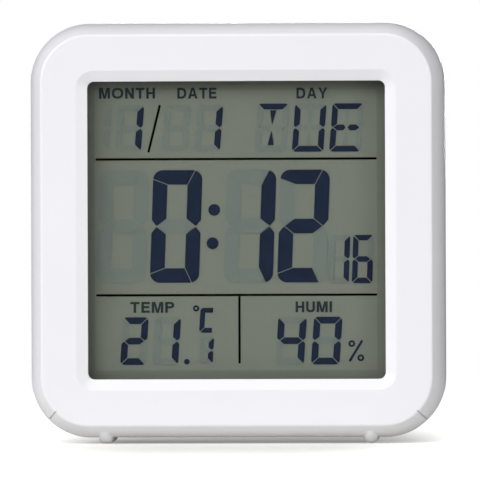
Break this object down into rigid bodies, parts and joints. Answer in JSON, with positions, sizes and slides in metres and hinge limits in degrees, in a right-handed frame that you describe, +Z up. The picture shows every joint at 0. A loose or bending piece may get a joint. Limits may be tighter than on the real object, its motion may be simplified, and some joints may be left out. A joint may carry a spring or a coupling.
{
  "type": "thermometer hygrometer clock",
  "caption": "Rounded-square table clock with a recessed segment display for time, date, temperature and humidity, runner feet, rear buttons and a battery door.",
  "frame": {"origin": "on the table, under the middle of the case", "axes": "+Z up, display facing -Y, +X to the viewer's right as seen from the front"},
  "size_m": [0.08, 0.027, 0.0812],
  "materials": {
    "case_white": "satin moulded",
    "lens_clear": "polished clear",
    "tape_black": "matte",
    "foam_black": "foam",
    "film_clear": "film",
    "glass_clear": "polished",
    "seal_grey": "matte",
    "segment_dark": "matte",
    "segment_clear": "film",
    "reflector_grey": "satin film",
    "elastomer_black": "matte",
    "board_green": "solder mask",
    "epoxy_black": "satin",
    "steel_bright": "plated",
    "ceramic_tan": "fired",
    "ceramic_black": "fired",
    "bead_brown": "dipped",
    "sensor_blue": "coated",
    "plastic_black": "moulded",
    "button_grey": "moulded",
    "cell_sleeve": "printed sleeve",
    "contact_nickel": "nickel plated",
    "lead_red": "insulation",
    "lead_black": "insulation"
  },
  "bodies": {
    "clock": {"front_case": "case_white", "rear_cover": "case_white", "window_lens": "lens_clear", "lens_tape": "tape_black", "lcd_gasket": "foam_black", "lcd_front_polariser": "film_clear", "lcd_front_glass": "glass_clear", "lcd_rear_glass": "glass_clear", "lcd_seal": "seal_grey", "lcd_dark_segments": "segment_dark", "lcd_clear_segments": "segment_clear", "lcd_reflector": "reflector_grey", "zebra_strip": "elastomer_black", "lcd_support_pad": "foam_black", "main_board": "board_green", "chip_blob": "epoxy_black", "quartz_crystal": "steel_bright", "chip_capacitors": "ceramic_tan", "chip_resistors": "ceramic_black", "thermistor": "bead_brown", "humidity_sensor": "sensor_blue", "alarm_buzzer": "plastic_black", "switch_housings": "plastic_black", "board_screws": "steel_bright", "case_screws": "steel_bright", "upper_cell": "cell_sleeve", "lower_cell": "cell_sleeve", "positive_contact": "contact_nickel", "negative_contact": "contact_nickel", "bridge_contact": "contact_nickel", "negative_spring": "contact_nickel", "bridge_spring": "contact_nickel", "red_lead": "lead_red", "black_lead": "lead_black"},
    "mode_key": {"mode_button": "button_grey", "mode_switch_plunger": "plastic_black"},
    "set_key": {"set_button": "button_grey", "set_switch_plunger": "plastic_black"},
    "up_key": {"up_button": "button_grey", "up_switch_plunger": "plastic_black"},
    "down_key": {"down_button": "button_grey", "down_switch_plunger": "plastic_black"},
    "door": {"battery_door": "case_white"}
  },
  "joints": [
    {"name": "mode_press", "type": "slide", "parent": "clock", "child": "mode_key", "axis": [0, -1, 0], "range_m": [0, 0.0005], "stiffness_N_per_m": 1000, "springref_m": -0.0005},
    {"name": "set_press", "type": "slide", "parent": "clock", "child": "set_key", "axis": [0, -1, 0], "range_m": [0, 0.0005], "stiffness_N_per_m": 1000, "springref_m": -0.0005},
    {"name": "up_press", "type": "slide", "parent": "clock", "child": "up_key", "axis": [0, -1, 0], "range_m": [0, 0.0005], "stiffness_N_per_m": 1000, "springref_m": -0.0005},
    {"name": "down_press", "type": "slide", "parent": "clock", "child": "down_key", "axis": [0, -1, 0], "range_m": [0, 0.0005], "stiffness_N_per_m": 1000, "springref_m": -0.0005},
    {"name": "door_hinge", "type": "hinge", "parent": "clock", "child": "door", "pos_m": [0, 0.0135, 0.01335], "axis": [-1, 0, 0], "range_deg": [0, 60]}
  ]
}
